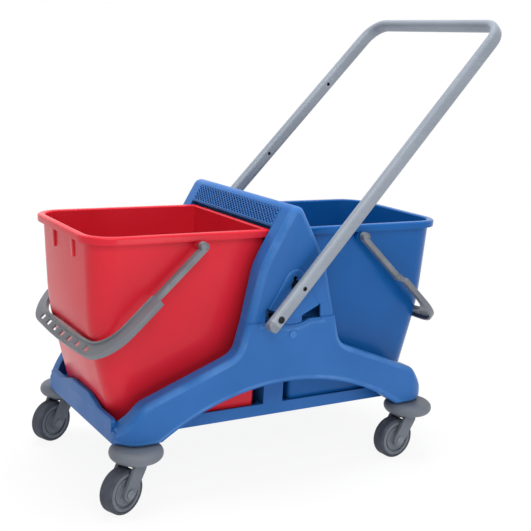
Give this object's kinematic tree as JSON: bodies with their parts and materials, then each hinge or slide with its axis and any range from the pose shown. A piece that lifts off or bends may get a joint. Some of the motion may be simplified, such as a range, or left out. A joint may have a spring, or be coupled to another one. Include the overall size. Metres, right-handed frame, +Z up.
{
  "type": "double mop bucket trolley",
  "caption": "Mopping trolley with a moulded base on swivel castors, a drained tower between lift-out red and blue buckets with swinging bails, and a tilting tubular push handle.",
  "frame": {"origin": "on the floor below the middle of the whole trolley's box, handle included", "axes": "+X along the trolley from the red bucket to the blue one, +Y across it to the side away from the camera, +Z up"},
  "size_m": [0.7746, 0.4376, 0.8109],
  "materials": {
    "blue_moulding": "satin moulded",
    "blue_bucket": "glossy moulded",
    "red_bucket": "glossy moulded",
    "handle_tube": "satin grey coating",
    "bail_plastic": "satin moulded",
    "grey_cap": "satin moulded",
    "castor_plastic": "satin moulded",
    "tyre_rubber": "matt rubber",
    "black_steel": "blackened",
    "zinc_steel": "zinc plated"
  },
  "bodies": {
    "chassis": {"chassis_base": "blue_moulding", "tower": "blue_moulding", "tie_screws": "blue_moulding", "pivot_bolt_near": "black_steel", "pivot_nut_near": "zinc_steel", "pivot_spacer_near": "castor_plastic", "pivot_bolt_far": "black_steel", "pivot_nut_far": "zinc_steel", "pivot_spacer_far": "castor_plastic", "red_roof_grate": "blue_moulding", "blue_roof_grate": "blue_moulding", "castor_stem_red_near": "zinc_steel", "castor_stem_red_far": "zinc_steel", "castor_stem_blue_near": "zinc_steel", "castor_stem_blue_far": "zinc_steel"},
    "handle": {"push_handle": "handle_tube", "lock_pin_near": "black_steel", "leg_cap_near": "grey_cap", "lock_pin_far": "black_steel", "leg_cap_far": "grey_cap"},
    "red_bucket": {"red_bucket": "red_bucket"},
    "red_bail": {"red_bail": "bail_plastic"},
    "blue_bucket": {"blue_bucket": "blue_bucket"},
    "blue_bail": {"blue_bail": "bail_plastic"},
    "castor_red_near": {"buffer_red_near": "castor_plastic", "fork_red_near": "castor_plastic", "axle_red_near": "zinc_steel"},
    "wheel_red_near": {"wheel_core_red_near": "castor_plastic", "tyre_red_near": "tyre_rubber"},
    "castor_red_far": {"buffer_red_far": "castor_plastic", "fork_red_far": "castor_plastic", "axle_red_far": "zinc_steel"},
    "wheel_red_far": {"wheel_core_red_far": "castor_plastic", "tyre_red_far": "tyre_rubber"},
    "castor_blue_near": {"buffer_blue_near": "castor_plastic", "fork_blue_near": "castor_plastic", "axle_blue_near": "zinc_steel"},
    "wheel_blue_near": {"wheel_core_blue_near": "castor_plastic", "tyre_blue_near": "tyre_rubber"},
    "castor_blue_far": {"buffer_blue_far": "castor_plastic", "fork_blue_far": "castor_plastic", "axle_blue_far": "zinc_steel"},
    "wheel_blue_far": {"wheel_core_blue_far": "castor_plastic", "tyre_blue_far": "tyre_rubber"}
  },
  "joints": [
    {"name": "handle_tilt", "type": "hinge", "parent": "chassis", "child": "handle", "pos_m": [-0.03438, 0, 0.352], "axis": [0, -1, 0], "range_deg": [0, 85]},
    {"name": "red_bucket_lift", "type": "slide", "parent": "chassis", "child": "red_bucket", "axis": [0, 0, 1], "range_m": [0, 0.35]},
    {"name": "red_bail_swing", "type": "hinge", "parent": "red_bucket", "child": "red_bail", "pos_m": [-0.19539, 0, 0.4215], "axis": [0, 1, 0], "range_deg": [0, 150]},
    {"name": "blue_bucket_lift", "type": "slide", "parent": "chassis", "child": "blue_bucket", "axis": [0, 0, 1], "range_m": [0, 0.35]},
    {"name": "blue_bail_swing", "type": "hinge", "parent": "blue_bucket", "child": "blue_bail", "pos_m": [0.12662, 0, 0.4215], "axis": [0, -1, 0], "range_deg": [0, 150]},
    {"name": "red_near_swivel", "type": "hinge", "parent": "chassis", "child": "castor_red_near", "pos_m": [-0.31139, -0.1695, 0.105], "axis": [0, 0, 1], "continuous": true},
    {"name": "red_near_spin", "type": "hinge", "parent": "castor_red_near", "child": "wheel_red_near", "pos_m": [-0.34105, -0.18149, 0.0375], "axis": [-0.3746, 0.9272, 0], "continuous": true},
    {"name": "red_far_swivel", "type": "hinge", "parent": "chassis", "child": "castor_red_far", "pos_m": [-0.31139, 0.1695, 0.105], "axis": [0, 0, 1], "continuous": true},
    {"name": "red_far_spin", "type": "hinge", "parent": "castor_red_far", "child": "wheel_red_far", "pos_m": [-0.34105, 0.15751, 0.0375], "axis": [-0.3746, 0.9272, 0], "continuous": true},
    {"name": "blue_near_swivel", "type": "hinge", "parent": "chassis", "child": "castor_blue_near", "pos_m": [0.24261, -0.1695, 0.105], "axis": [0, 0, 1], "continuous": true},
    {"name": "blue_near_spin", "type": "hinge", "parent": "castor_blue_near", "child": "wheel_blue_near", "pos_m": [0.21069, -0.17173, 0.0375], "axis": [-0.0698, 0.9976, 0], "continuous": true},
    {"name": "blue_far_swivel", "type": "hinge", "parent": "chassis", "child": "castor_blue_far", "pos_m": [0.24261, 0.1695, 0.105], "axis": [0, 0, 1], "continuous": true},
    {"name": "blue_far_spin", "type": "hinge", "parent": "castor_blue_far", "child": "wheel_blue_far", "pos_m": [0.21131, 0.16285, 0.0375], "axis": [-0.2079, 0.9781, 0], "continuous": true}
  ]
}
